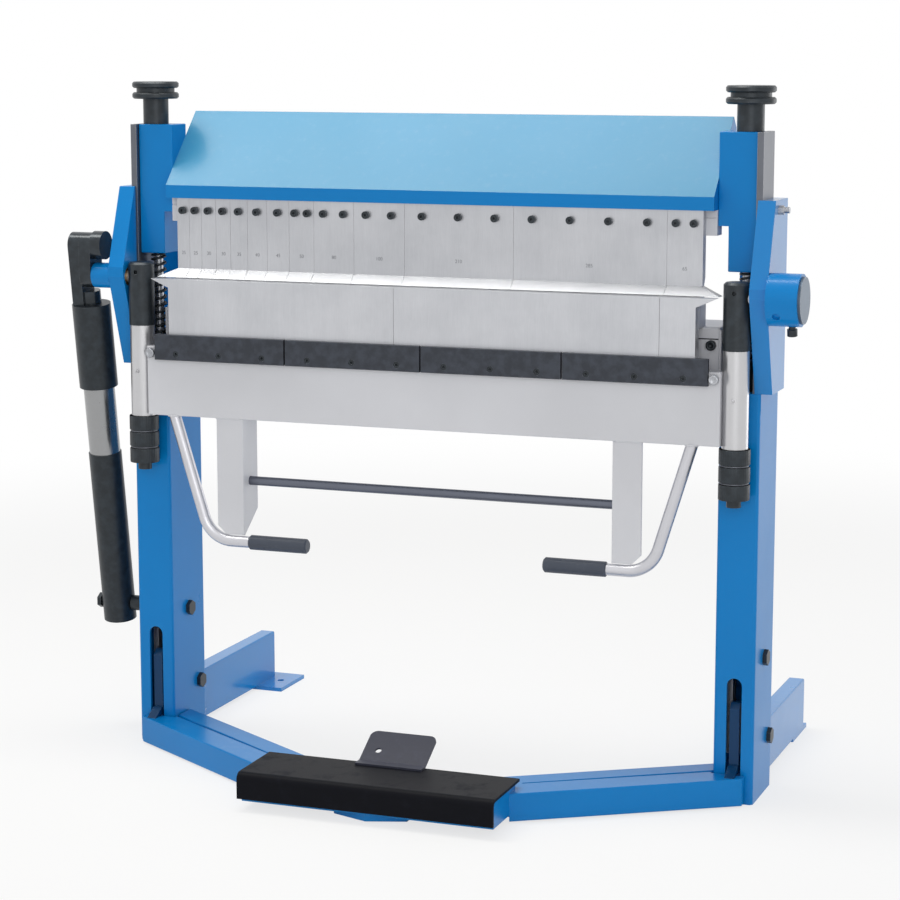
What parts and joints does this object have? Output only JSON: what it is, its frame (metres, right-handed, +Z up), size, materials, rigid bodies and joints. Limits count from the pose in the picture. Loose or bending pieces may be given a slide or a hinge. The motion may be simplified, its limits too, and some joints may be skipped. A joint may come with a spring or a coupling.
{
  "type": "sheet metal folder",
  "caption": "Floor-standing sheet metal folder: segmented clamping fingers, foot pedal, folding apron with handles, balance strut and angle stop.",
  "frame": {"origin": "on the floor, midway between the two floor bolt holes of the rear feet", "axes": "+X to the right along the bend line, +Y from the working side to the back, +Z up"},
  "size_m": [1.4348, 0.899, 1.2834],
  "materials": {
    "blue_paint": "smooth gloss enamel",
    "grey_paint": "smooth satin enamel",
    "tool_steel": "ground tool steel",
    "bright_steel": "turned steel",
    "black_oxide": "black oxide, oiled",
    "slate_strip": "dark slate, satin",
    "tread_black": "black, fine texture",
    "toe_grey": "dark grey, satin",
    "tube_silver": "bright turned",
    "barrel_chrome": "polished",
    "bush_bronze": "turned bronze",
    "grip_rubber": "moulded rubber"
  },
  "bodies": {
    "frame": {"left_column": "blue_paint", "right_column": "blue_paint", "rear_feet": "blue_paint", "bed_beam": "grey_paint", "base_blade": "tool_steel", "left_pivot_plate": "blue_paint", "right_pivot_plate": "blue_paint", "guide_bars": "bright_steel", "pivot_bushes": "bush_bronze", "rod_bushes": "black_oxide", "return_springs": "black_oxide", "column_bolts": "black_oxide", "stop_bolt": "bright_steel"},
    "clamp_beam": {"upper_beam": "blue_paint", "carriers": "blue_paint", "finger_rail": "grey_paint", "finger_01": "tool_steel", "finger_02": "tool_steel", "finger_03": "tool_steel", "finger_04": "tool_steel", "finger_05": "tool_steel", "finger_06": "tool_steel", "finger_07": "tool_steel", "finger_08": "tool_steel", "finger_09": "tool_steel", "finger_10": "tool_steel", "finger_11": "tool_steel", "finger_12": "tool_steel", "finger_13": "tool_steel", "finger_screws": "black_oxide", "guide_rods": "bright_steel", "clamp_yokes": "bright_steel"},
    "left_knob": {"left_knob": "black_oxide"},
    "right_knob": {"right_knob": "black_oxide"},
    "pedal": {"pedal_frame": "blue_paint", "pedal_levers": "blue_paint", "pedal_tread": "tread_black", "toe_plate": "toe_grey"},
    "hinge_arms": {"hinge_caps": "black_oxide", "pivot_shafts": "bright_steel", "spindles": "bright_steel", "crank_arm": "black_oxide"},
    "apron": {"apron_plate": "grey_paint", "bending_blade": "tool_steel", "clamp_strips": "slate_strip", "strip_screws": "black_oxide", "end_tubes": "tube_silver", "posts": "grey_paint", "tie_rod": "black_oxide", "handles": "grey_paint", "grips": "grip_rubber"},
    "left_nut": {"left_adjuster_nut": "black_oxide"},
    "right_nut": {"right_adjuster_nut": "black_oxide"},
    "strut_tube": {"strut_tube": "black_oxide", "strut_barrel": "barrel_chrome"},
    "strut_rod": {"strut_sleeve": "black_oxide", "strut_eye": "black_oxide"},
    "stop_collar": {"stop_collar": "blue_paint", "stop_disc": "bright_steel"},
    "lock_screw": {"lock_screw": "black_oxide"}
  },
  "joints": [
    {"name": "clamp_lift", "type": "slide", "parent": "frame", "child": "clamp_beam", "axis": [0, 0, 1], "range_m": [0, 0.036], "deforming": ["return_springs"]},
    {"name": "pedal_swing", "type": "hinge", "parent": "frame", "child": "pedal", "pos_m": [0, -0.375, 0.101], "axis": [-1, 0, 0], "range_deg": [0, 26.57]},
    {"name": "left_knob_turn", "type": "hinge", "parent": "clamp_beam", "child": "left_knob", "pos_m": [-0.578, -0.447, 1.21], "axis": [0, 0, 1], "continuous": true},
    {"name": "right_knob_turn", "type": "hinge", "parent": "clamp_beam", "child": "right_knob", "pos_m": [0.578, -0.447, 1.21], "axis": [0, 0, 1], "continuous": true},
    {"name": "fold", "type": "hinge", "parent": "frame", "child": "hinge_arms", "pos_m": [0, -0.52, 0.919], "axis": [-1, 0, 0], "range_deg": [0, 135]},
    {"name": "apron_height", "type": "slide", "parent": "hinge_arms", "child": "apron", "axis": [0, 0, 1], "range_m": [-0.008, 0]},
    {"name": "left_nut_turn", "type": "hinge", "parent": "apron", "child": "left_nut", "pos_m": [-0.578, -0.52, 0.61], "axis": [0, 0, 1], "continuous": true},
    {"name": "right_nut_turn", "type": "hinge", "parent": "apron", "child": "right_nut", "pos_m": [0.578, -0.52, 0.61], "axis": [0, 0, 1], "continuous": true},
    {"name": "strut_swing", "type": "hinge", "parent": "frame", "child": "strut_tube", "pos_m": [-0.6954, -0.418, 0.258], "axis": [-1, 0, 0], "range_deg": [0, 2.42]},
    {"name": "strut_stroke", "type": "slide", "parent": "strut_tube", "child": "strut_rod", "axis": [0, -0.1406, 0.9901], "range_m": [-0.10151, 0]},
    {"name": "stop_turn", "type": "hinge", "parent": "hinge_arms", "child": "stop_collar", "pos_m": [0.664, -0.52, 0.919], "axis": [1, 0, 0], "continuous": true},
    {"name": "lock_turn", "type": "hinge", "parent": "stop_collar", "child": "lock_screw", "pos_m": [0.67373, -0.51201, 0.8737], "axis": [0, 0.1736, -0.9848], "continuous": true}
  ],
  "couplings": [
    {"joint": "pedal_swing", "follows": "clamp_lift", "rad_per_m": 12.879},
    {"joint": "strut_swing", "follows": "fold", "ratio": 0.017845},
    {"joint": "strut_stroke", "follows": "fold", "m_per_rad": -0.043059}
  ]
}
